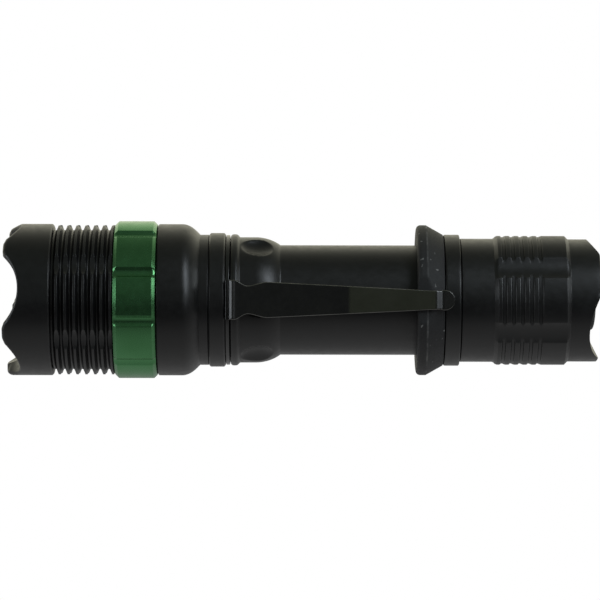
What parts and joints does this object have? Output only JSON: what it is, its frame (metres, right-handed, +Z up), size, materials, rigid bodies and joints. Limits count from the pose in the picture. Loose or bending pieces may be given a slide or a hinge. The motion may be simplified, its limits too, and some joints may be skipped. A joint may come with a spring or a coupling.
{
  "type": "tactical flashlight",
  "caption": "Straight tube flashlight with a notched bezel, finned head, turning focus ring, spring pocket clip, rubber anti-roll guard and a screw-off tail cap with a push switch.",
  "frame": {"origin": "under the middle of the torch on the surface it lies on, at the lowest point of the focus ring", "axes": "+X along the torch from head to tail, +Y away from the pocket clip, +Z up"},
  "size_m": [0.1342, 0.0358, 0.0357],
  "materials": {
    "anodised_black": "satin black anodised, fine bead-blasted grain",
    "anodised_green": "satin green anodised",
    "bare_aluminium": "fine turned",
    "clip_steel": "smooth black coat, semi-gloss",
    "guard_rubber": "matt moulded rubber",
    "boot_rubber": "matt silicone",
    "seal_rubber": "smooth",
    "window_glass": "clear, anti-reflection coated",
    "lens_glass": "clear, polished",
    "led_phosphor": "yellow phosphor under a clear dome",
    "circuit_board": "green solder mask",
    "contact_brass": "polished",
    "spring_steel": "bright drawn wire",
    "cell_wrap": null,
    "switch_plastic": "moulded"
  },
  "bodies": {
    "housing": {"strike_bezel": "anodised_black", "front_window": "window_glass", "window_gasket": "seal_rubber", "finned_head": "anodised_black", "head_base": "anodised_black", "led_pill": "bare_aluminium", "led_board": "circuit_board", "led_emitter": "led_phosphor", "driver_board": "circuit_board", "front_contact": "contact_brass", "collar_ring": "anodised_black", "clip_ring": "clip_steel", "battery_tube": "anodised_black", "front_o_ring": "seal_rubber", "rear_o_ring": "seal_rubber", "battery_cell": "cell_wrap", "grip_guard": "guard_rubber", "tail_ring": "anodised_black"},
    "focus_ring": {"focus_ring": "anodised_green"},
    "lens_cell": {"lens": "lens_glass", "lens_carrier": "bare_aluminium", "lens_retainer": "anodised_black", "focus_pin_1": "spring_steel", "focus_pin_2": "spring_steel", "focus_pin_3": "spring_steel"},
    "clip": {"clip_arm": "clip_steel"},
    "tail_thread": {"tail_spring": "spring_steel"},
    "tail_cap": {"tail_cap": "anodised_black", "switch_retainer": "bare_aluminium", "switch_board": "circuit_board", "tail_switch": "switch_plastic", "boot_washer": "bare_aluminium"},
    "button": {"switch_boot": "boot_rubber", "switch_plunger": "switch_plastic"}
  },
  "joints": [
    {"name": "focus_turn", "type": "hinge", "parent": "housing", "child": "focus_ring", "pos_m": [-0.0375, 0, 0.01785], "axis": [1, 0, 0], "range_deg": [0, 120]},
    {"name": "lens_travel", "type": "slide", "parent": "housing", "child": "lens_cell", "axis": [-1, 0, 0], "range_m": [0, 0.0055]},
    {"name": "clip_flex", "type": "hinge", "parent": "housing", "child": "clip", "pos_m": [-0.0164, -0.01575, 0.01785], "axis": [0, 0, -1], "range_deg": [0, 4], "stiffness_Nm_per_rad": 2},
    {"name": "tail_cap_travel", "type": "slide", "parent": "housing", "child": "tail_thread", "axis": [1, 0, 0], "range_m": [0, 0.006]},
    {"name": "tail_cap_turn", "type": "hinge", "parent": "tail_thread", "child": "tail_cap", "pos_m": [0.0515, 0, 0.01785], "axis": [1, 0, 0], "range_deg": [0, 1440]},
    {"name": "button_press", "type": "slide", "parent": "tail_cap", "child": "button", "axis": [-1, 0, 0], "range_m": [0, 0.0018], "stiffness_N_per_m": 1500}
  ],
  "couplings": [
    {"joint": "focus_turn", "follows": "lens_travel", "rad_per_m": 380.8},
    {"joint": "tail_cap_turn", "follows": "tail_cap_travel", "rad_per_m": 4188.8}
  ]
}
